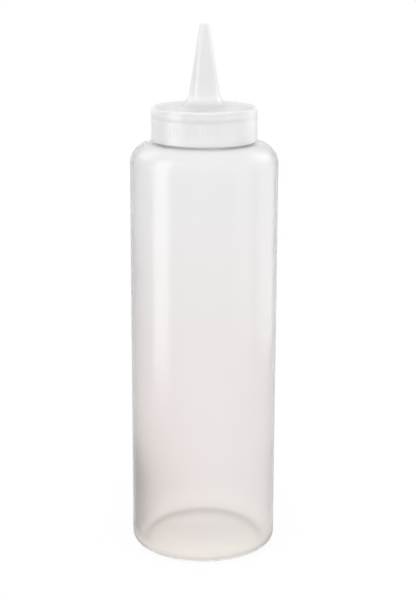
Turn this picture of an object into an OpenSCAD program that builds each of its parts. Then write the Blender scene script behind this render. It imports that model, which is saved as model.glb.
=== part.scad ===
// Squeeze sauce bottle: a blow-moulded cylinder with a screw neck, a sealing ring on its rim,
// and a one-piece moulded screw cap whose top rises into a long hollow cone spout.
// Millimetres, +Z up. The origin is the middle of the base, on the surface it stands on.

/* [Bottle body] */
// Outside diameter of the straight wall
body_d = 57; // [52:0.5:64]
// Height of the flat shoulder above the table
body_h = 162; // [120:1:200]
// Thickness of the squeezable wall
body_wall = 1; // [0.8:0.1:1.6]
// Thickness of the floor, where the moulded tube is pinched shut
base_wall = 1.2; // [1:0.1:2.4]
// Radius where the wall rolls in to the shoulder
shoulder_r = 8.3; // [5:0.1:9]
// Radius where the wall rolls in to the foot
heel_r = 4; // [3:0.1:6]
// Width of the flat ring that the bottle stands on
foot_ring_w = 1.5; // [1:0.1:4]
// Rise of the floor inside the standing ring
push_up = 4.2; // [2:0.1:5]
// How square the raised floor is: 2 is a dome, and a high number a flat top with steep sides
floor_square = 8; // [2:1:12]
// Height of the weld line that the pinch leaves under the floor
weld_h = 0.5; // [0.3:0.1:0.8]
// Width of that weld line
weld_w = 1; // [0.6:0.1:2]

/* [Neck and thread] */
// Outside diameter of the neck, under the thread
neck_d = 35.1; // [34:0.1:37]
// Thickness of the neck
neck_wall = 2.4; // [1.8:0.1:2.6]
// Height of the neck above the shoulder
neck_h = 10.9; // [10.5:0.1:14]
// Radius at the foot of the neck
neck_fillet = 0.9; // [0.4:0.1:1.4]
// Rise of the thread in one turn
thread_pitch = 4.233; // [3.8:0.001:4.5]
// How far the thread stands out from the neck
thread_depth = 1.15; // [0.9:0.05:1.4]
// Turns of thread on the neck
neck_turns = 1.25; // [1:0.05:1.4]
// Turns of thread inside the cap
cap_turns = 1.1; // [0.9:0.05:1.15]
// Width of a ridge where it leaves its wall
ridge_root_w = 2.2; // [1.8:0.1:2.4]
// Width of a ridge at its crest
ridge_crest_w = 0.8; // [0.5:0.1:1.2]
// Bare neck above the thread
thread_start = 1; // [0.6:0.1:1.5]

/* [Seal] */
// Thickness of the sealing ring
gasket_t = 1; // [0.6:0.1:2]

/* [Cap] */
// Thickness of the skirt, from the tips of its ribs to its bore
skirt_wall = 1.45; // [1.2:0.05:2.2]
// Thickness of the top plate
cap_plate = 1.8; // [1.2:0.1:2.4]
// Radius round the top edge
cap_edge_r = 1.8; // [1:0.1:2.4]
// Smooth band above the grip ribs
smooth_band = 3.8; // [3:0.1:6]
// Step from the smooth band in to the crests of the ribs
band_step = 0.1; // [0.05:0.05:0.3]
// Number of grip ribs
rib_count = 96; // [48:4:120]
// Depth of the grooves between the ribs
rib_depth = 0.2; // [0.15:0.05:0.4]
// Depth of the plug ring that centres the cap in the neck
plug_depth = 4; // [2:0.1:6]
// Thickness of the plug ring
plug_wall = 1.1; // [0.8:0.1:1.3]

/* [Spout] */
// Height of the cone above the top plate
spout_h = 30.8; // [20:0.1:45]
// Diameter of the cone where its line meets the top plate
spout_root_d = 13.1; // [11:0.1:14]
// Diameter of the tip
tip_d = 3.7; // [3.2:0.1:6]
// Diameter of the hole in the tip
orifice_d = 2.4; // [1:0.1:2.6]
// Length of the straight hole behind the tip
orifice_land = 3; // [1:0.5:6]
// Thickness of the cone's wall
spout_wall = 1.1; // [0.8:0.1:1.4]
// Radius where the top plate sweeps up into the cone
flare_r = 6; // [3:0.1:6.5]

/* [Clearances] */
// Gap between a thread's crest and the wall it faces
crest_gap = 0.25; // [0.15:0.05:0.4]
// Gap between the two threads' flanks, along the axis
flank_gap = 0.25; // [0.15:0.05:0.4]
// Gap under the skirt, over the shoulder
skirt_gap = 0.5; // [0.4:0.1:1.2]
// Gap round the plug ring, inside the neck
plug_gap = 0.2; // [0.15:0.05:0.4]
// Gap round the sealing ring, inside the cap
gasket_gap = 0.35; // [0.2:0.05:0.6]

/* [Hidden] */
$fn = 144;

arc_steps = 10;
floor_steps = 14;
thread_step = 7.5;
runout = 30;
bury = 0.3;
rim_chamfer = 0.4;
natural = [0.93, 0.925, 0.91, 0.5];
soft_white = [0.97, 0.97, 0.95, 1];

body_r = body_d / 2;
foot_r = body_r - heel_r;
push_r = foot_r - foot_ring_w;
push_top_r = push_r + min(base_wall, foot_ring_w) * 0.6;
neck_r = neck_d / 2;
bore_r = neck_r - neck_wall;
neck_crest_r = neck_r + thread_depth;
rim_z = body_h + neck_h;

cap_bore_r = neck_crest_r + crest_gap;
cap_crest_r = neck_r + crest_gap;
cap_r = cap_bore_r + skirt_wall;
rib_crest_r = cap_r - band_step;
core_r = rib_crest_r - rib_depth - 0.2;
plate_z = rim_z + gasket_t;
cap_top_z = plate_z + cap_plate;
skirt_z = body_h + skirt_gap;
band_z = cap_top_z - smooth_band;
plug_out_r = bore_r - plug_gap;
plug_in_r = plug_out_r - plug_wall;
plug_z = plate_z - plug_depth;

tip_z = cap_top_z + spout_h;
tip_r = tip_d / 2;
orifice_r = orifice_d / 2;
root_r = spout_root_d / 2;
root_in_r = root_r - spout_wall;

// The neck's ridge starts below the rim, and the cap's ridge runs under it on the same helix
neck_ridge_top = rim_z - thread_start - ridge_root_w / 2;
ridge_mean_w = (ridge_root_w + ridge_crest_w) / 2;
ridge_offset = ridge_mean_w + flank_gap;
cap_ridge_bottom = skirt_z + ridge_root_w / 2 + rim_chamfer;

// Points on an arc round (cx, cz), from angle a0 to angle a1
function arc(cx, cz, r, a0, a1) =
    [for (i = [0 : arc_steps]) let (a = a0 + (a1 - a0) * i / arc_steps)
        [cx + r * cos(a), cz + r * sin(a)]];

// Height of the raised floor at a radius: level in the middle, falling fast at its edge
function floor_rise(r, edge_r) = push_up * (1 - pow(r / edge_r, floor_square));

// Points along the raised floor from radius r0 to radius r1, a height dz above it. They lie closer
// together towards the edge, where it is steep.
function floor_line(r0, r1, dz, edge_r) =
    [for (i = [0 : floor_steps]) let (r = sqrt(r0 * r0 + (r1 * r1 - r0 * r0) * i / floor_steps))
        [r, floor_rise(r, edge_r) + dz]];

// A cone line leans in by `lean` for each millimetre it rises. A fillet of radius r rests on the
// plate and touches that line, and this is how far its centre stands from the line's foot.
function fillet_reach(lean, r) = r * (sqrt(1 + lean * lean) - lean);

// Radius of one point of a ridge's crest: it sinks into the wall over the run-out at each end
function crest_at(i, n, base_r, crest_r, sunk_r) =
    let (k = min(1, min(i, n - i) * thread_step / runout))
    sunk_r + (crest_r - sunk_r) * k;

// A helical ridge with a trapezoid section. It starts at height z0 and angle a0 and climbs
// right-handed. crest_r outside base_r gives a neck thread, inside it a cap thread.
module helical_ridge(base_r, crest_r, z0, a0, turns) {
    side = sign(crest_r - base_r);
    root_r = base_r - side * bury;
    sunk_r = base_r - side * bury / 2;
    n = ceil(turns * 360 / thread_step);
    points = [for (i = [0 : n])
        let (a = a0 + i * thread_step,
             z = z0 + thread_pitch * i * thread_step / 360,
             c = crest_at(i, n, base_r, crest_r, sunk_r))
        for (p = [[root_r, -ridge_root_w], [c, -ridge_crest_w], [c, ridge_crest_w], [root_r, ridge_root_w]])
            [p[0] * cos(a), p[0] * sin(a), z + p[1] / 2]];
    walls = [for (i = [0 : n - 1]) for (j = [0 : 3])
        let (p = 4 * i + j, q = 4 * i + (j + 1) % 4)
        for (tri = [[p, q, p + 4], [q, q + 4, p + 4]]) tri];
    first = [[0, 2, 1], [0, 3, 2]];
    last = [for (tri = first) [tri[0], tri[2], tri[1]] + 4 * n * [1, 1, 1]];
    faces = concat(walls, first, last);
    polyhedron(points, side > 0 ? faces : [for (tri = faces) [tri[0], tri[2], tri[1]]]);
}

// The bottle's wall in section: outside from the middle of the floor to the rim, then back inside
module bottle_section() {
    inner_heel = max(heel_r - body_wall, 0.5);
    inner_shoulder = shoulder_r - body_wall;
    wall_in_r = body_r - body_wall;
    polygon(concat(
        floor_line(0, push_r, 0, push_r),
        arc(foot_r, heel_r, heel_r, -90, 0),
        arc(body_r - shoulder_r, body_h - shoulder_r, shoulder_r, 0, 90),
        arc(neck_r + neck_fillet, body_h + neck_fillet, neck_fillet, 270, 180),
        [[neck_r, rim_z - rim_chamfer], [neck_r - rim_chamfer, rim_z]],
        [[bore_r + rim_chamfer, rim_z], [bore_r, rim_z - rim_chamfer]],
        arc(bore_r + body_wall, body_h, body_wall, 180, 270),
        arc(body_r - shoulder_r, body_h - shoulder_r, inner_shoulder, 90, 0),
        arc(wall_in_r - inner_heel, base_wall + inner_heel, inner_heel, 0, -90),
        floor_line(push_top_r, 0, base_wall, push_top_r)
    ));
}

// The weld line across the underside, hanging a little below the raised floor
module floor_weld() {
    reach = push_r * 0.8;
    intersection() {
        rotate_extrude()
            polygon(concat(
                floor_line(0, reach, -weld_h, push_r),
                floor_line(reach, 0, base_wall / 2, push_r)
            ));
        translate([-reach, -weld_w / 2, 0])
            cube([2 * reach, weld_w, push_up + base_wall]);
    }
}

module bottle() {
    color(natural) union() {
        rotate_extrude() bottle_section();
        helical_ridge(neck_r, neck_crest_r, neck_ridge_top - neck_turns * thread_pitch,
            -neck_turns * 360, neck_turns);
        floor_weld();
    }
}

// A flat ring between the rim and the cap's top plate
module sealing_gasket() {
    color(soft_white) difference() {
        translate([0, 0, rim_z]) cylinder(h = gasket_t, r = cap_bore_r - gasket_gap);
        translate([0, 0, rim_z - 1]) cylinder(h = gasket_t + 2, r = bore_r);
    }
}

// The cap's wall in section: skirt, rounded top edge, flare, cone, hole, and back down inside
module cap_section() {
    lean_out = (root_r - tip_r) / spout_h;
    lean_in = (root_in_r - orifice_r) / (spout_h - orifice_land);
    out_c = root_r + fillet_reach(lean_out, flare_r);
    foot_in_r = root_in_r + lean_in * cap_plate;
    flare_in_r = min(flare_r + cap_plate, (plug_in_r - bury - foot_in_r) / fillet_reach(lean_in, 1));
    in_c = foot_in_r + fillet_reach(lean_in, flare_in_r);
    tip_edge = (tip_r - orifice_r) / 2;
    polygon(concat(
        [[cap_bore_r + rim_chamfer, skirt_z], [core_r, skirt_z], [core_r, band_z], [cap_r, band_z]],
        arc(cap_r - cap_edge_r, cap_top_z - cap_edge_r, cap_edge_r, 0, 90),
        arc(out_c, cap_top_z + flare_r, flare_r, 270, 180 + atan(lean_out)),
        [[tip_r + lean_out * tip_edge, tip_z - tip_edge], [tip_r - tip_edge, tip_z]],
        [[orifice_r, tip_z], [orifice_r, tip_z - orifice_land]],
        arc(in_c, plate_z + flare_in_r, flare_in_r, 180 + atan(lean_in), 270),
        [[plug_in_r, plate_z], [plug_in_r, plug_z], [plug_out_r - plug_wall / 2, plug_z]],
        [[plug_out_r, plug_z + plug_wall], [plug_out_r, plate_z], [cap_bore_r, plate_z]],
        [[cap_bore_r, skirt_z + rim_chamfer]]
    ));
}

// The ribbed grip band round the skirt: one trapezoid rib and one groove in each step
module grip_band() {
    pitch = 360 / rib_count;
    outline = [for (i = [0 : rib_count - 1])
        for (p = [[0.1, 0], [0.4, 1], [0.6, 1], [0.9, 0]])
            let (a = (i + p[0]) * pitch, r = rib_crest_r - rib_depth * (1 - p[1]))
            [r * cos(a), r * sin(a)]];
    translate([0, 0, skirt_z]) linear_extrude(height = band_z - skirt_z) difference() {
        polygon(outline);
        circle(r = core_r - bury);
    }
}

module cap() {
    cap_start = (cap_ridge_bottom + ridge_offset - neck_ridge_top) / thread_pitch * 360;
    color(natural) union() {
        rotate_extrude() cap_section();
        grip_band();
        helical_ridge(cap_bore_r, cap_crest_r, cap_ridge_bottom, cap_start, cap_turns);
    }
}

bottle();
sealing_gasket();
cap();
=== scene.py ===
# %% [markdown]
# A natural polyethylene squeeze bottle with a cone-spout screw cap, made for a plain white studio.
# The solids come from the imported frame. Each of the three pieces is modelled again here at a finer
# grain, because a translucent wall shows its inside: the floor, the threads and the plug ring all
# read through the plastic, so they need smooth true walls and not only a right outline.

# %% Frame
import math

import bmesh
import bpy
from mathutils import Matrix, Vector


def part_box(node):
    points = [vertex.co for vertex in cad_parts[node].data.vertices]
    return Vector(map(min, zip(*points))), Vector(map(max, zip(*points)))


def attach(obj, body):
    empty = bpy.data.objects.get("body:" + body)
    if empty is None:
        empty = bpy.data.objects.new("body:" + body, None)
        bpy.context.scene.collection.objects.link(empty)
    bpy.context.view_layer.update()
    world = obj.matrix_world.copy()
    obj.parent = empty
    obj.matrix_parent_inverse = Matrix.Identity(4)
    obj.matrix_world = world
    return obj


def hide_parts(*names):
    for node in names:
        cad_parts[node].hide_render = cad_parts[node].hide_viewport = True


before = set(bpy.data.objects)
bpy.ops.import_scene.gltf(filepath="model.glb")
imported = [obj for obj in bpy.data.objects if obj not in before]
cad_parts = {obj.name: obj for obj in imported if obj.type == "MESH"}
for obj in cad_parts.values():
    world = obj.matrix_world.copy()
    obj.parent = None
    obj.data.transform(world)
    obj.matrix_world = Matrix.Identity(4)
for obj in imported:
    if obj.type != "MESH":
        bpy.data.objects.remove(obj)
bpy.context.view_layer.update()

# %% [markdown]
# Every measure in this script is a real size in metres, so `MM` turns the millimetres of a drawing
# into Blender's unit. The main measures are read from the boxes of the frame's solids, so the
# pieces follow the solids if those change. Walls and radii come later, each with its own piece.

# %% Main sizes
MM = 0.001
bottle_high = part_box("bottle")[1]
gasket_low, gasket_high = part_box("sealing_gasket")
cap_low, cap_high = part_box("cap")

body_r = bottle_high.x
rim_z = bottle_high.z
plate_z = gasket_high.z
cap_r = cap_high.x
skirt_z = cap_low.z
tip_z = cap_high.z
print(f"body {2 * body_r / MM:.1f} mm across, tip at {tip_z / MM:.1f} mm")

# %% [markdown]
# The camera stands a little over half a metre in front of the bottle and looks down on it by
# fourteen degrees, so the top plate of the cap shows as a thin ellipse and the floor shows through
# the wall. Its long lens keeps the straight wall nearly parallel. It is also rolled by a fifth of a
# degree, as a hand-held camera is. A roll turns the camera about its own line of sight, so it has
# to come before the tilt, and multiplying two rotation matrices keeps that order plain.

# %% Camera
LOOK_DOWN = 14.27
ROLL = 0.2
camera_data = bpy.data.cameras.new("camera")
camera_data.lens = 89.61
camera_data.clip_start = 0.01
camera_data.clip_end = 20
camera = bpy.data.objects.new("camera", camera_data)
camera.location = (0.00163, -0.56858, 0.24413)
tilt = Matrix.Rotation(math.radians(90 - LOOK_DOWN), 3, "X")
roll = Matrix.Rotation(math.radians(ROLL), 3, "Z")
camera.rotation_euler = (tilt @ roll).to_euler()
bpy.context.scene.collection.objects.link(camera)
bpy.context.scene.camera = camera
bpy.context.scene.view_settings.view_transform = "Standard"
print("camera at", tuple(round(c, 3) for c in camera.location))

# %% [markdown]
# All three pieces are round, and each one's wall is drawn once as a section: a line of points from
# the axis or a rim, along the outside, over the lip and back along the inside. Arcs and straight
# runs give the points, each as a radius and a height.


# %% Section helpers
def arc(cx, cz, radius, start, end, steps):
    """Points on an arc round (cx, cz), between two angles in degrees."""
    turns = [math.radians(start + (end - start) * i / steps) for i in range(steps + 1)]
    return [(cx + radius * math.cos(a), cz + radius * math.sin(a)) for a in turns]


def run(start, end, steps):
    """Points along a straight stretch, without its two ends."""
    shares = [i / steps for i in range(1, steps)]
    return [tuple(a + (b - a) * s for a, b in zip(start, end)) for s in shares]


quarter = arc(0, 0, 1, 0, 90, 4)
print("a quarter turn in four steps:", [(round(r, 2), round(z, 2)) for r, z in quarter])

# %% [markdown]
# Spinning the section round the axis makes the solid. A long spin gets slow, so an eighth of the
# turn is spun and then doubled three times. The seams between the copies are merged, and so are the
# points that the spin leaves on top of each other at the axis. Only then are the normals worked
# out: a shell has an inside and an outside wall, and Blender can tell them apart once it is closed.

# %% Spinning
MERGE_WITHIN = 0.002 * MM
EIGHTH = math.pi / 4
CREASE_ANGLE = math.radians(50)


def spun(section, steps, closed):
    """A bmesh made by spinning a section, which is closed if it doesn't touch the axis."""
    bm = bmesh.new()
    verts = [bm.verts.new((r, 0, z)) for r, z in section]
    pairs = list(zip(verts, verts[1:])) + ([(verts[-1], verts[0])] if closed else [])
    edges = [bm.edges.new(pair) for pair in pairs]
    centre = (0, 0, 0)
    bmesh.ops.spin(
        bm, geom=verts + edges, cent=centre, axis=(0, 0, 1),
        angle=EIGHTH, steps=steps // 8, use_merge=False, use_duplicate=False,
    )
    for turn in (EIGHTH, 2 * EIGHTH, 4 * EIGHTH):
        copy = bmesh.ops.duplicate(bm, geom=bm.verts[:] + bm.edges[:] + bm.faces[:])["geom"]
        moved = [part for part in copy if isinstance(part, bmesh.types.BMVert)]
        bmesh.ops.rotate(bm, verts=moved, cent=centre, matrix=Matrix.Rotation(turn, 3, "Z"))
    bmesh.ops.remove_doubles(bm, verts=bm.verts, dist=MERGE_WITHIN)
    bmesh.ops.recalc_face_normals(bm, faces=bm.faces)
    return bm


def finished(bm, name):
    """Puts a bmesh in the scene as a smooth-shaded object, with creases where it turns hard."""
    for face in bm.faces:
        face.smooth = True
    for edge in bm.edges:
        edge.smooth = edge.calc_face_angle(0) < CREASE_ANGLE
    mesh = bpy.data.meshes.new(name)
    bm.to_mesh(mesh)
    bm.free()
    piece = bpy.data.objects.new(name, mesh)
    bpy.context.scene.collection.objects.link(piece)
    print(f"{name}: {len(mesh.vertices)} vertices, {len(mesh.polygons)} faces")
    return piece


# %% [markdown]
# The neck carries a right-hand thread of six turns an inch, a trapezoid ridge that climbs 4.233 mm
# a turn and dies away at each end. The cap has its own ridge on the same helix, just under the
# neck's, with a quarter of a millimetre between their flanks. Both are written as one function of
# the turn and the height, so they can't drift apart.

# %% Thread
thread_pitch = 4.233 * MM
thread_depth = 1.15 * MM
ridge_root_w = 2.2 * MM
ridge_crest_w = 0.8 * MM
neck_turns = 1.25
cap_turns = 1.1
runout_turns = 30 / 360
flank_gap = 0.25 * MM
crest_gap = 0.25 * MM
rim_edge = 0.4 * MM
ridge_below_rim = 1.0 * MM
neck_ridge_top = rim_z - ridge_below_rim - ridge_root_w / 2
neck_ridge_low = neck_ridge_top - neck_turns * thread_pitch
cap_ridge_low = skirt_z + ridge_root_w / 2 + rim_edge
ridge_offset = (ridge_root_w + ridge_crest_w) / 2 + flank_gap
cap_start_turn = (cap_ridge_low + ridge_offset - neck_ridge_top) / thread_pitch


def ridge_share(x, y, z, low_z, start_turn, turns):
    """How much of its full height a ridge has at a point, from 0 to 1."""
    turn = (math.atan2(y, x) / (2 * math.pi) - start_turn) % 1
    best = 0
    while turn <= turns:
        off = abs(z - low_z - turn * thread_pitch)
        flank = (ridge_root_w / 2 - off) / ((ridge_root_w - ridge_crest_w) / 2)
        taper = min(turn, turns - turn) / runout_turns
        best = max(best, min(flank, taper, 1))
        turn += 1
    return best


print(f"the cap's thread starts {360 * cap_start_turn:.0f} degrees round from the neck's upper end")

# %% [markdown]
# A ridge could be a separate coil pushed into the wall, but translucent plastic would show the two
# surfaces crossing. A spun wall is a fine grid, so the ridge is raised on the grid itself: each
# point moves outwards, or inwards in the cap, by the height that the helix has there. That keeps
# the wall in one skin.

# %% Raising a ridge
ON_WALL = 0.01 * MM


def raise_ridge(bm, wall_r, depth, low_z, start_turn, turns):
    """Moves the grid of one round wall out to the ridge's crest, or in where depth is negative."""
    moved = 0
    for v in bm.verts:
        if abs(math.hypot(v.co.x, v.co.y) - wall_r) > ON_WALL:
            continue
        share = ridge_share(v.co.x, v.co.y, v.co.z, low_z, start_turn, turns)
        if share > 0:
            scale = (wall_r + depth * share) / wall_r
            v.co.x *= scale
            v.co.y *= scale
            moved += 1
    print("ridge raised on", moved, "points")


# %% [markdown]
# The bottle is blow-moulded: a hot tube is pinched shut at the foot and blown against a cold mould.
# That leaves a rounded heel, a floor pushed up inside a flat standing ring, a wall of about one
# millimetre, a rounded shoulder that thins to half of that on its top, and a thick, accurate neck.
# The floor is nearly flat and falls steeply at its edge, where it shows through the wall as a line.

# %% Bottle sizes
neck_h = 10.9 * MM
body_h = rim_z - neck_h
body_wall = 1.0 * MM
base_wall = 1.2 * MM
heel_r = 4.0 * MM
foot_ring_w = 1.5 * MM
push_up = 4.2 * MM
shoulder_r = 8.3 * MM
shoulder_wall = 0.5 * MM
neck_r = 17.55 * MM
neck_wall = 2.4 * MM
bore_r = neck_r - neck_wall

foot_r = body_r - heel_r
push_r = foot_r - foot_ring_w
push_top_r = push_r + 0.6 * min(base_wall, foot_ring_w)
print(f"standing ring {push_r / MM:.1f} to {foot_r / MM:.1f} mm out, body {body_h / MM:.1f} mm tall")

# %% [markdown]
# Two stretches of the section aren't plain arcs. The pushed-up floor follows a high power of the
# radius, with its points set closer together towards the steep edge. The inside of the shoulder is
# an arc whose wall thins as it climbs.

# %% Floor and shoulder lines
FLOOR_STEEPNESS = 8


def floor_rise(r, edge_r):
    """Height of the pushed-up floor: a flat top that falls steeply at its edge."""
    return push_up * (1 - (min(r, edge_r) / edge_r) ** FLOOR_STEEPNESS)


def floor_line(start, end, lift, edge_r, steps=22):
    """Points along the pushed-up floor, closer together towards its steep edge."""
    radii = [math.sqrt(start**2 + (end**2 - start**2) * i / steps) for i in range(steps + 1)]
    return [(r, floor_rise(r, edge_r) + lift) for r in radii]


def shoulder_inside(cx, cz, steps=20):
    """Points along the inside of the shoulder, where the wall thins from the side to the top."""
    points = []
    for i in range(steps + 1):
        up = math.radians(90 - 90 * i / steps)
        radius = shoulder_r - body_wall - (shoulder_wall - body_wall) * math.sin(up) ** 2
        points.append((cx + radius * math.cos(up), cz + radius * math.sin(up)))
    return points


print(f"floor {floor_rise(0, push_r) / MM:.1f} mm up in the middle")

# %% [markdown]
# Now the whole section of the bottle, from the middle of its underside, round the heel, up the
# wall, over the shoulder and the neck's rim, and back down the inside to the middle of the floor.
# The neck has many rows, because the thread is raised on them.

# %% Bottle section
NECK_ROWS = 56
WALL_ROWS = 30


def bottle_section():
    wall_r = body_r - body_wall
    heel_in = heel_r - body_wall
    turn_r = body_r - shoulder_r
    turn_z = body_h - shoulder_r
    foot_fillet = 0.9 * MM
    neck_foot = (neck_r, body_h + foot_fillet)
    neck_top = (neck_r, rim_z - rim_edge)
    outside = (
        floor_line(0, push_r, 0, push_r)
        + arc(foot_r, heel_r, heel_r, -90, 0, 12)
        + run((body_r, heel_r), (body_r, turn_z), WALL_ROWS)
        + arc(turn_r, turn_z, shoulder_r, 0, 90, 20)
        + arc(neck_foot[0] + foot_fillet, neck_foot[1], foot_fillet, 270, 180, 6)
        + run(neck_foot, neck_top, NECK_ROWS)
        + arc(neck_r - rim_edge, rim_z - rim_edge, rim_edge, 0, 90, 5)
    )
    inside = (
        arc(bore_r + rim_edge, rim_z - rim_edge, rim_edge, 90, 180, 5)
        + run((bore_r, rim_z - rim_edge), (bore_r, body_h), 6)
        + arc(bore_r + shoulder_wall, body_h, shoulder_wall, 180, 270, 6)
        + shoulder_inside(turn_r, turn_z)
        + run((wall_r, turn_z), (wall_r, base_wall + heel_in), WALL_ROWS)
        + arc(wall_r - heel_in, base_wall + heel_in, heel_in, 0, -90, 10)
        + floor_line(push_top_r, 0, base_wall, push_top_r)
    )
    return outside + inside


section = bottle_section()
print("bottle section:", len(section), "points")

# %% [markdown]
# A blown wall is never even: the hot tube hangs a little off the middle of the mould, and one side
# of the bottle gets more of it. The outside is true to the mould, so only the inside moves. Here
# the lower left is thickest, and the long way that light takes through it draws the dark edge
# there. The rows give heights in metres and the extra thickness on the left and on the right in
# millimetres, and the high powers keep each patch narrow.

# %% Uneven wall
UNEVEN_WALL = (
    (0.000, 2.3, 0.2),
    (0.028, 2.3, 0.2),
    (0.046, 0.5, -0.2),
    (0.060, 0.35, -0.2),
    (0.110, 0.4, -0.2),
    (0.130, 0.0, -0.2),
    (0.150, 0.0, 0.0),
)
LEFT_NARROWNESS = 6
RIGHT_NARROWNESS = 12


def extra_wall(z):
    """How much thicker than a millimetre the wall is at a height, on the left and on the right."""
    for (low, *first), (high, *last) in zip(UNEVEN_WALL, UNEVEN_WALL[1:]):
        if z <= high:
            share = (z - low) / (high - low)
            ease = share * share * (3 - 2 * share)
            return [(a + (b - a) * ease) * MM for a, b in zip(first, last)]
    return 0, 0


def thicken_wall(bm):
    """Moves the inside of the wall, most of all on the left near the foot."""
    inner_r = body_r - body_wall
    moved = 0
    for v in bm.verts:
        r = math.hypot(v.co.x, v.co.y)
        if abs(r - inner_r) > ON_WALL or v.co.z > body_h - shoulder_r:
            continue
        left, right = extra_wall(v.co.z)
        to_right = (1 + v.co.x / r) / 2
        extra = left * (1 - to_right) ** LEFT_NARROWNESS + right * to_right**RIGHT_NARROWNESS
        v.co.x *= (r - extra) / r
        v.co.y *= (r - extra) / r
        moved += 1
    print("wall thickened at", moved, "points")


# %% [markdown]
# The weld is a low ridge across the underside, in the plane where the two mould halves met. It is
# pulled down from the floor's own grid, so it belongs to the same skin.

# %% Weld
weld_h = 0.5 * MM
weld_w = 1.0 * MM
weld_fade = 2 * MM
weld_reach = push_r * 0.8


def pull_weld(bm):
    """Lowers the points of the underside that lie near the parting plane."""
    moved = 0
    for v in bm.verts:
        r = math.hypot(v.co.x, v.co.y)
        under = v.co.z < floor_rise(r, push_r) + base_wall / 2
        if r > weld_reach or not under:
            continue
        across = max(0, 1 - abs(v.co.y) / weld_w)
        along = min(1, (weld_reach - r) / weld_fade)
        v.co.z -= weld_h * across * along
        moved += across > 0
    print("weld pulled from", moved, "points")


# %% [markdown]
# Now the bottle is spun, and the three changes are made to its grid. Each finds its own points by
# where they lie, so the mesh needs no groups: the wall's inside and the neck by their distance from
# the axis, and the weld by its height. The spin is fine enough for the thread's ends to fade out.

# %% Bottle
BOTTLE_STEPS = 240
bm = spun(section, BOTTLE_STEPS, closed=False)
thicken_wall(bm)
raise_ridge(bm, neck_r, thread_depth, neck_ridge_low, -neck_turns, neck_turns)
pull_weld(bm)
bottle = finished(bm, "squeeze_bottle")

# %% [markdown]
# The gasket is a flat ring of soft foamed plastic between the rim and the cap's top plate. It only
# shows when the cap is off, as a pale ring with slightly rounded corners, so four small arcs, one
# for each corner, are its whole section.

# %% Gasket
GASKET_STEPS = 192
gasket_edge = 0.2 * MM
outer_c = gasket_high.x - gasket_edge
inner_c = bore_r + gasket_edge
lower_c = gasket_low.z + gasket_edge
upper_c = gasket_high.z - gasket_edge
gasket_section = (
    arc(outer_c, lower_c, gasket_edge, -90, 0, 4)
    + arc(outer_c, upper_c, gasket_edge, 0, 90, 4)
    + arc(inner_c, upper_c, gasket_edge, 90, 180, 4)
    + arc(inner_c, lower_c, gasket_edge, 180, 270, 4)
)
gasket = finished(spun(gasket_section, GASKET_STEPS, closed=True), "rim_gasket")

# %% [markdown]
# The cap is one injection moulding: a skirt with fine grip ribs, a rounded top edge, a flat plate
# that sweeps up into the cone, and a thin plug ring that centres it in the neck. The cone is hollow
# with a wall of about a millimetre, so light passes through it and its two sides look darker.

# %% Cap sizes
cap_plate = 1.8 * MM
cap_top_z = plate_z + cap_plate
cap_bore_r = neck_r + thread_depth + crest_gap
cap_edge_r = 1.8 * MM
smooth_band = 3.8 * MM
band_z = cap_top_z - smooth_band
band_step = 0.1 * MM
rib_r = cap_r - band_step
plug_gap = 0.2 * MM
plug_out_r = bore_r - plug_gap
plug_wall = 1.1 * MM
plug_in_r = plug_out_r - plug_wall
plug_depth = 4.0 * MM
plug_z = plate_z - plug_depth
spout_wall = 1.1 * MM
root_r = 6.55 * MM
tip_r = 1.85 * MM
orifice_r = 1.2 * MM
orifice_land = 3.0 * MM
flare_r = 6.0 * MM
lean_out = (root_r - tip_r) / (tip_z - cap_top_z)
lean_in = (root_r - spout_wall - orifice_r) / (tip_z - cap_top_z - orifice_land)
cone_angle = math.degrees(math.atan(lean_out))
print(f"cone {(tip_z - cap_top_z) / MM:.1f} mm tall, leaning in by {cone_angle:.1f} degrees")

# %% [markdown]
# The cone stands on a flare, an arc that touches both the flat plate and the leaning line. The
# centre of such an arc lies one radius above the plate, and `fillet_reach` says how far out from
# the foot of the line. The same sum serves the outside and the inside. The section is drawn in
# three parts: up the outside, over the tip into its hole, and down the inside.


# %% Cap section
def fillet_reach(lean, radius):
    """How far a fillet's centre stands from the foot of a line that leans in by this slope."""
    return radius * (math.sqrt(1 + lean * lean) - lean)


def cap_outside():
    """Points up the skirt, over the edge and the plate, and round the flare to the cone's foot."""
    out_c = root_r + fillet_reach(lean_out, flare_r)
    edge = 0.25 * MM
    return (
        arc(rib_r - rim_edge, skirt_z + rim_edge, rim_edge, -90, 0, 5)
        + run((rib_r, skirt_z + rim_edge), (rib_r, band_z - edge), 8)
        + [(rib_r, band_z - edge), (rib_r + band_step / 2, band_z - edge / 3), (cap_r, band_z)]
        + arc(cap_r - cap_edge_r, cap_top_z - cap_edge_r, cap_edge_r, 0, 90, 12)
        + run((cap_r - cap_edge_r, cap_top_z), (out_c, cap_top_z), 4)
        + arc(out_c, cap_top_z + flare_r, flare_r, 270, 180 + cone_angle, 14)
    )


def cap_tip(cone_foot):
    """Points up the cone, over the tip and down the hole to the end of its straight land."""
    tip_edge = 0.3 * MM
    hole_edge = 0.15 * MM
    cone_end = (tip_r + lean_out * tip_edge, tip_z - tip_edge)
    land_end = (orifice_r, tip_z - orifice_land)
    return (
        run(cone_foot, cone_end, 14)
        + arc(tip_r - tip_edge, tip_z - tip_edge, tip_edge, 0, 90, 5)
        + arc(orifice_r + hole_edge, tip_z - hole_edge, hole_edge, 90, 180, 4)
        + run((orifice_r, tip_z), land_end, 4)
        + [land_end]
    )


print(f"flare's centre {fillet_reach(lean_out, flare_r) / MM:.2f} mm out from the cone's foot")

# %% [markdown]
# The inside goes down the cone and its flare to the plate, round the plug ring, along the plate to
# the skirt's bore, and down the bore to the skirt's foot. The bore has many rows, as the neck has,
# for the ridge that is raised on it.

# %% Inside of the cap
BORE_ROWS = 46


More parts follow.
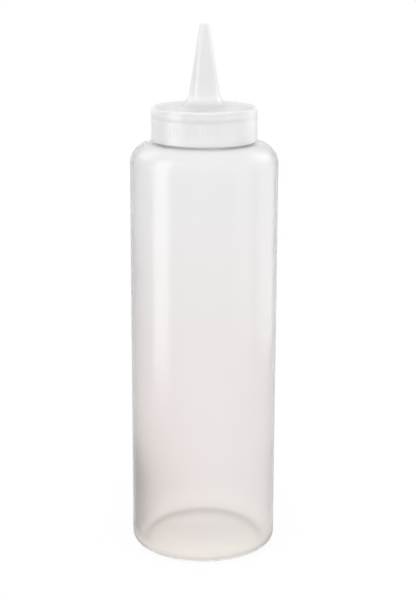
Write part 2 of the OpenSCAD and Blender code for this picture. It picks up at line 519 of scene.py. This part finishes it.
def cap_inside(land_end):
    """Points down the cone, round the plug ring and down the skirt's bore to its foot."""
    foot_in_r = root_r - spout_wall + lean_in * cap_plate
    flare_in_r = flare_r + cap_plate
    in_c = foot_in_r + fillet_reach(lean_in, flare_in_r)
    cone_turn = 180 + math.degrees(math.atan(lean_in))
    flare_in = arc(in_c, plate_z + flare_in_r, flare_in_r, cone_turn, 270, 14)
    edge = 0.25 * MM
    bore_top = (cap_bore_r, plate_z)
    bore_foot = (cap_bore_r, skirt_z + rim_edge)
    return (
        run(land_end, flare_in[0], 14)
        + flare_in
        + [(plug_in_r - edge, plate_z), (plug_in_r, plate_z - edge)]
        + arc(plug_in_r + edge, plug_z + edge, edge, 180, 270, 4)
        + [(plug_out_r - plug_wall / 2, plug_z), (plug_out_r, plug_z + plug_wall)]
        + run((plug_out_r, plug_z + plug_wall), (plug_out_r, plate_z), 4)
        + [(plug_out_r, plate_z), bore_top]
        + run(bore_top, bore_foot, BORE_ROWS)
        + [bore_foot, (cap_bore_r + rim_edge / 2, skirt_z + rim_edge / 4)]
    )


section = cap_outside()
section += cap_tip(section[-1])
section += cap_inside(section[-1])
print("cap section:", len(section), "points")

# %% [markdown]
# Ninety-six ribs run up the skirt and stop under a smooth band. They are only a tenth of a
# millimetre deep, so they show as a faint upright grain and not as stripes. Four points go to each
# rib and groove: a crest, a flank, the bottom of the groove and the other flank. The grooves fade
# out at both ends.

# %% Cap
RIBS = 96
POINTS_PER_RIB = 4
rib_depth = 0.1 * MM
rib_fade = 0.8 * MM


def sink_grooves(bm):
    """Moves the grip band's points in between the ribs."""
    moved = 0
    for v in bm.verts:
        r = math.hypot(v.co.x, v.co.y)
        if r < rib_r - rim_edge / 2 or v.co.z > band_z:
            continue
        turn = math.atan2(v.co.y, v.co.x)
        groove = (1 - math.cos(RIBS * turn)) / 2
        end = min(1, max(0, (band_z - v.co.z) / rib_fade), max(0, (v.co.z - skirt_z) / rib_fade))
        scale = (r - rib_depth * groove * end) / r
        v.co.x *= scale
        v.co.y *= scale
        moved += groove > 0
    print("grooves sunk at", moved, "points")


bm = spun(section, RIBS * POINTS_PER_RIB, closed=True)
raise_ridge(bm, cap_bore_r, -thread_depth, cap_ridge_low, cap_start_turn, cap_turns)
sink_grooves(bm)
cap = finished(bm, "spout_cap")

# %% [markdown]
# Shader maths is easier to read as Python. `Socket` wraps one output of a node, and its operators
# add Math nodes, so `1 - mask` is a node too.


# %% Sockets
class Socket:
    """One output of a node, with the arithmetic that adds Math nodes."""

    def __init__(self, recipe, output):
        self.recipe = recipe
        self.output = output

    def maths(self, operation, first, second):
        return self.recipe.add("ShaderNodeMath", {0: first, 1: second}, operation=operation)

    def __add__(self, other):
        return self.maths("ADD", self, other)

    def __radd__(self, other):
        return self.maths("ADD", other, self)

    def __sub__(self, other):
        return self.maths("SUBTRACT", self, other)

    def __rsub__(self, other):
        return self.maths("SUBTRACT", other, self)

    def __mul__(self, other):
        return self.maths("MULTIPLY", self, other)

    def __rmul__(self, other):
        return self.maths("MULTIPLY", other, self)

    def at_least(self, other):
        return self.maths("MAXIMUM", self, other)


# %% [markdown]
# `Recipe.add` makes every other node: settings first, then the values or links of its sockets. The
# other methods are short names for nodes that come again and again: `ramp` turns one range of a
# number into another, `blend_colours` mixes two colours by a share, and `noise` is a cloudy pattern
# that can be stretched. Colours are given as red, green and blue, and an alpha of 1 is added.


# %% Recipes
class Recipe:
    """A node tree under construction."""

    def __init__(self, tree):
        self.tree = tree
        tree.nodes.clear()

    def add(self, kind, inputs=None, output=0, **settings):
        node = self.tree.nodes.new(kind)
        for name, value in settings.items():
            setattr(node, name, value)
        for key, value in (inputs or {}).items():
            if isinstance(value, Socket):
                self.tree.links.new(value.output, node.inputs[key])
            else:
                node.inputs[key].default_value = value
        return Socket(self, node.outputs[output]) if len(node.outputs) else None

    def ramp(self, value, start, end, first=0.0, last=1.0, kind="LINEAR"):
        span = {"From Min": start, "From Max": end, "To Min": first, "To Max": last}
        return self.add("ShaderNodeMapRange", {"Value": value, **span}, interpolation_type=kind)

    def blend_colours(self, share, first, second):
        first_in, second_in = 6, 7
        colours = [c if isinstance(c, Socket) else (*c, 1) for c in (first, second)]
        inputs = {"Factor": share, first_in: colours[0], second_in: colours[1]}
        return self.add("ShaderNodeMix", inputs, output=2, data_type="RGBA")

    def noise(self, coords, scale, detail, stretch=(1, 1, 1)):
        mapped = self.add("ShaderNodeMapping", {"Vector": coords, "Scale": stretch})
        return self.add("ShaderNodeTexNoise", {"Vector": mapped, "Scale": scale, "Detail": detail})


def new_material(name):
    material = bpy.data.materials.new(name)
    material.use_nodes = True
    return material, Recipe(material.node_tree)


# %% [markdown]
# The colour of the plastic changes with the height and the side. It is neutral near the top and
# faintly pink at the belly. The lower left is painted darker and warmer, as painted shade, and the
# foot and floor are painted lighter and warm, as painted light from the white ground under them.
# The shoulder, the neck and the cap's skirt are painted white, as painted light over their shade,
# and the cap's flat plate is painted grey, as painted shade. Each of these is a ramp over the
# height, or over the side, in the piece's own coordinates.

# %% Tones
EASED = "SMOOTHSTEP"
# Painted light, laid white on the shoulder, the neck and the cap's skirt.
PAINTED_LIGHT_WHITE = (1, 1, 1)
# Painted shade, laid grey on the cap's flat plate.
PLATE_PAINTED_SHADE = (0.7, 0.7, 0.7)


def toned(recipe, coords, foot, top, belly, lower_left_shade, underside):
    """The colour of the plastic by height and side, with painted light and painted shade in it."""
    side = recipe.add("ShaderNodeSeparateXYZ", {0: coords}, output="X")
    height = recipe.add("ShaderNodeSeparateXYZ", {0: coords}, output="Z")
    middle = recipe.ramp(height, 0.075, 0.145, 1.0, 0.0, EASED)
    # The lower left, picked out by low and left, is painted darker and warmer: painted shade.
    low = recipe.ramp(height, 0.0, 0.10, 1.0, 0.0, EASED)
    left = recipe.ramp(side, -0.028, 0.012, 1.0, 0.1, EASED)
    # The shoulder band, less the cone, is painted white: painted light over its shade.
    shoulder = recipe.ramp(height, 0.145, 0.158)
    cone = recipe.ramp(height, 0.178, 0.186)
    # The plate band is painted grey: painted shade.
    plate = recipe.ramp(height, 0.1754, 0.1757) * recipe.ramp(height, 0.1760, 0.1790, 1.0, 0.0)
    colour = recipe.blend_colours(middle, top, belly)
    colour = recipe.blend_colours(shoulder * (1 - cone), colour, PAINTED_LIGHT_WHITE)
    colour = recipe.blend_colours(plate, colour, PLATE_PAINTED_SHADE)
    colour = recipe.blend_colours(low * left, colour, lower_left_shade)
    # The foot, up to about a centimetre, gets the underside tone: painted light, lighter and warm,
    # from the white ground under it.
    return recipe.blend_colours(foot, colour, underside)


print("tones run from the foot at 0 to the cone's tip at", round(tip_z, 4))

# %% [markdown]
# Natural polyethylene is a milky, slightly warm translucent plastic. Most of the light goes
# straight through the bottle's thin wall, a little is scattered back as a white veil, and the rest
# is absorbed along the way. That absorption is what draws the bottle on a white ground: at the
# edges the eye looks along the wall and not across it, so the path through the plastic is long and
# the edge turns grey. An index of refraction close to that of air keeps the light nearly straight.
# With the true one, four rough surfaces in a row would throw much of it sideways, and so thin a
# bottle would look too dark. The gloss is then missing, and a coat with the true index brings it
# back. The floor has next to no coat, because a mirror seen at so low an angle would hide the pale
# floor behind a grey reflection of the wall. The surface is satin, with faint upright draw lines
# from the moulding and fine scuffs from handling and washing.

# %% Polyethylene
CLOUD_TINT = (0.99, 0.985, 0.97)


def polyethylene(name, tones, through, rough, absorb, density):
    material, recipe = new_material(name)
    coords = recipe.add("ShaderNodeTexCoord", output="Object")
    height = recipe.add("ShaderNodeSeparateXYZ", {0: coords}, output="Z")
    foot = recipe.ramp(height, 0.006, 0.012, 1.0, 0.0)
    clouds = recipe.noise(coords, 45, 3)
    draw_lines = recipe.noise(coords, 260, 2, (1, 1, 0.03))
    scuffs = recipe.noise(coords, 900, 4, (1, 1, 0.4))
    relief = clouds * 0.6 + draw_lines * 0.12 + scuffs * 0.02
    bumps = {"Height": relief, "Strength": 0.35, "Distance": 0.0004}
    tone_with_painted_light_and_shade = toned(recipe, coords, foot, **tones)
    surface = recipe.add(
        "ShaderNodeBsdfPrincipled",
        {
            "Base Color": recipe.blend_colours(clouds * 0.12, tone_with_painted_light_and_shade, CLOUD_TINT),
            "Roughness": rough - 0.04 + 0.06 * clouds + 0.05 * scuffs,
            "Normal": recipe.add("ShaderNodeBump", bumps, output="Normal"),
            "IOR": 1.06,
            "Transmission Weight": through,
            "Coat Weight": 1 - 0.9 * foot,
            "Coat Roughness": 0.2,
            "Coat IOR": 1.5,
        },
    )
    volume = recipe.add("ShaderNodeVolumeAbsorption", {"Color": (*absorb, 1), "Density": density})
    recipe.add("ShaderNodeOutputMaterial", {"Surface": surface, "Volume": volume})
    return material


# %% [markdown]
# The bottle lets nearly all the light through. The cap is a thicker, stiffer moulding, which
# scatters more than half of the light and looks much whiter. It gets one pale tone, with painted
# light on its skirt and painted shade on its plate.

# %% Bottle and cap finishes
bottle_tones = {
    "top": (0.975, 0.973, 0.973),
    "belly": (0.975, 0.95, 0.95),
    # This tone is painted shade, darker and warmer, for the lower left.
    "lower_left_shade": (0.96, 0.905, 0.88),
    # This tone is painted light, lighter and warm, for the foot and the floor.
    "underside": (1.0, 0.972, 0.94),
}
cap_tones = dict.fromkeys(bottle_tones, (0.9, 0.9, 0.905))
bottle.data.materials.append(
    polyethylene(
        "natural_polyethylene", bottle_tones,
        through=0.95, rough=0.35, absorb=(0.81, 0.80, 0.80), density=260,
    )
)
cap.data.materials.append(
    polyethylene(
        "cap_polyethylene", cap_tones,
        through=0.4, rough=0.4, absorb=(0.85, 0.84, 0.84), density=120,
    )
)
print("polyethylene on bottle and cap")

# %% [markdown]
# The gasket is closed-cell foam: matt, white, with pores too small to see one by one. A fine noise
# shades them, lifts them and roughens them together.


# %% Foam
def foam(name):
    material, recipe = new_material(name)
    coords = recipe.add("ShaderNodeTexCoord", output="Object")
    pores = recipe.noise(coords, 2200, 3)
    bumps = {"Height": pores, "Strength": 0.4, "Distance": 0.0002}
    surface = recipe.add(
        "ShaderNodeBsdfPrincipled",
        {
            "Base Color": recipe.blend_colours(pores, (0.86, 0.86, 0.84), (0.95, 0.95, 0.93)),
            "Roughness": 0.6 + 0.15 * pores,
            "Normal": recipe.add("ShaderNodeBump", bumps, output="Normal"),
        },
    )
    recipe.add("ShaderNodeOutputMaterial", {"Surface": surface})
    return material


gasket.data.materials.append(foam("soft_seal"))
print("foam on gasket")

# %% [markdown]
# The studio is a white floor running out to a white surround. To the camera, and to rays that
# reflect off or pass through the plastic, both are plain white. A ray through rough plastic counts
# as a reflection too, so the larger of the three answers is taken and not their sum. To everything
# else the studio is a soft light, a little below white, so the lamps and not only the background
# shape the bottle. The floor keeps a small share of its own shading near the bottle, which leaves
# its shadow there, but none right under it, because the raised floor of the bottle would look grey.

# %% Floor
FLOOR_R = 3


def seen_plainly(recipe):
    """One for rays of the camera, of a reflection or through plastic, and nought for all others."""
    camera_ray = recipe.add("ShaderNodeLightPath", output="Is Camera Ray")
    glossy_ray = recipe.add("ShaderNodeLightPath", output="Is Glossy Ray")
    through_ray = recipe.add("ShaderNodeLightPath", output="Is Transmission Ray")
    return camera_ray.at_least(glossy_ray.at_least(through_ray))


bm = bmesh.new()
bmesh.ops.create_circle(bm, cap_ends=True, radius=FLOOR_R, segments=96)
floor = finished(bm, "studio_floor")
floor_material, recipe = new_material("studio_white")
floor_coords = recipe.add("ShaderNodeTexCoord", output="Object")
reach = recipe.add("ShaderNodeVectorMath", {0: floor_coords}, output="Value", operation="LENGTH")
away = recipe.ramp(reach, 0.1, 0.5, 0.92, 1.0)
under = recipe.ramp(reach, 0.022, 0.027, 1.0, 0.0)
paper = recipe.add("ShaderNodeBsdfDiffuse", {"Color": (0.9, 0.9, 0.9, 1)})
glow = recipe.add("ShaderNodeEmission", {"Color": (1, 1, 1, 1), "Strength": 1})
plain_share = seen_plainly(recipe) * away.at_least(under)
shown = recipe.add("ShaderNodeMixShader", {0: plain_share, 1: paper, 2: glow})
recipe.add("ShaderNodeOutputMaterial", {"Surface": shown})
floor.data.materials.append(floor_material)

# %% [markdown]
# The surround is the world's own background. The same answer of nought or one lifts its strength
# from the soft level that lights the bottle to the full white that is seen.

# %% Surround
AMBIENT = 0.85
world = bpy.data.worlds.new("studio")
world.use_nodes = True
bpy.context.scene.world = world
recipe = Recipe(world.node_tree)
strength = seen_plainly(recipe) * (1 - AMBIENT) + AMBIENT
background = recipe.add("ShaderNodeBackground", {"Color": (1, 1, 1, 1), "Strength": strength})
recipe.add("ShaderNodeOutputWorld", {"Surface": background})
print("studio is white to the camera, ambient", AMBIENT)

# %% [markdown]
# Six soft lamps light the bottle, and each has one job. A narrow strip on the left draws the long
# streak, and a weaker strip and a wide wing on the right draw the softer sheen there. They stand at
# the height of the bottle and are only mirrored, so they don't flatten the shading. A pair behind
# and above puts the two bright spots on the shoulder and lights the cap's sides. The box in front
# and above only shades, mostly the cap's rim and skirt, and would otherwise mirror as a blot on the
# shoulder. All six are hidden from rays through the plastic, or they would show behind it as
# bright rectangles in a view from the side.


# %% Lamps
def soft_lamp(name, place, target, width, height, power, shade=True, gloss=True):
    data = bpy.data.lights.new(name, "AREA")
    data.shape = "RECTANGLE"
    data.size = width
    data.size_y = height
    data.energy = power
    lamp = bpy.data.objects.new(name, data)
    lamp.location = place
    aim = Vector(target) - Vector(place)
    lamp.rotation_euler = aim.to_track_quat("-Z", "Y").to_euler()
    lamp.visible_camera = False
    lamp.visible_transmission = False
    lamp.visible_diffuse = shade
    lamp.visible_glossy = gloss
    bpy.context.scene.collection.objects.link(lamp)
    print(f"{name}: {power} W")


level_aim = (0, 0, 0.2)
body_aim = (0, 0, 0.15)
soft_lamp("left_strip", (-0.243, -0.104, 0.2), level_aim, 0.13, 0.4, 0.42, shade=False)
soft_lamp("right_strip", (0.27, -0.14, 0.2), level_aim, 0.16, 0.4, 0.12, shade=False)
soft_lamp("right_wing", (0.28, 0.1, 0.2), level_aim, 0.24, 0.4, 0.32, shade=False)
soft_lamp("left_rear", (-0.40, 0.26, 0.45), body_aim, 0.3, 0.3, 0.3)
soft_lamp("right_rear", (0.40, 0.26, 0.45), body_aim, 0.3, 0.3, 0.3)
soft_lamp("front_box", (0.0, -0.39, 1.01), body_aim, 0.7, 0.5, 4.5, gloss=False)

# %% [markdown]
# Each piece rides on its body and stands for its solid, whose own mesh is hidden. The
# gasket rides on the seal, which climbs with the cap but doesn't turn.

# %% Hand over
for piece, body, node, slot in (
    (bottle, "bottle", "bottle", "natural_polyethylene"),
    (gasket, "seal", "sealing_gasket", "soft_seal"),
    (cap, "cap", "cap", "cap_polyethylene"),
):
    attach(piece, body)
    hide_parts(node)
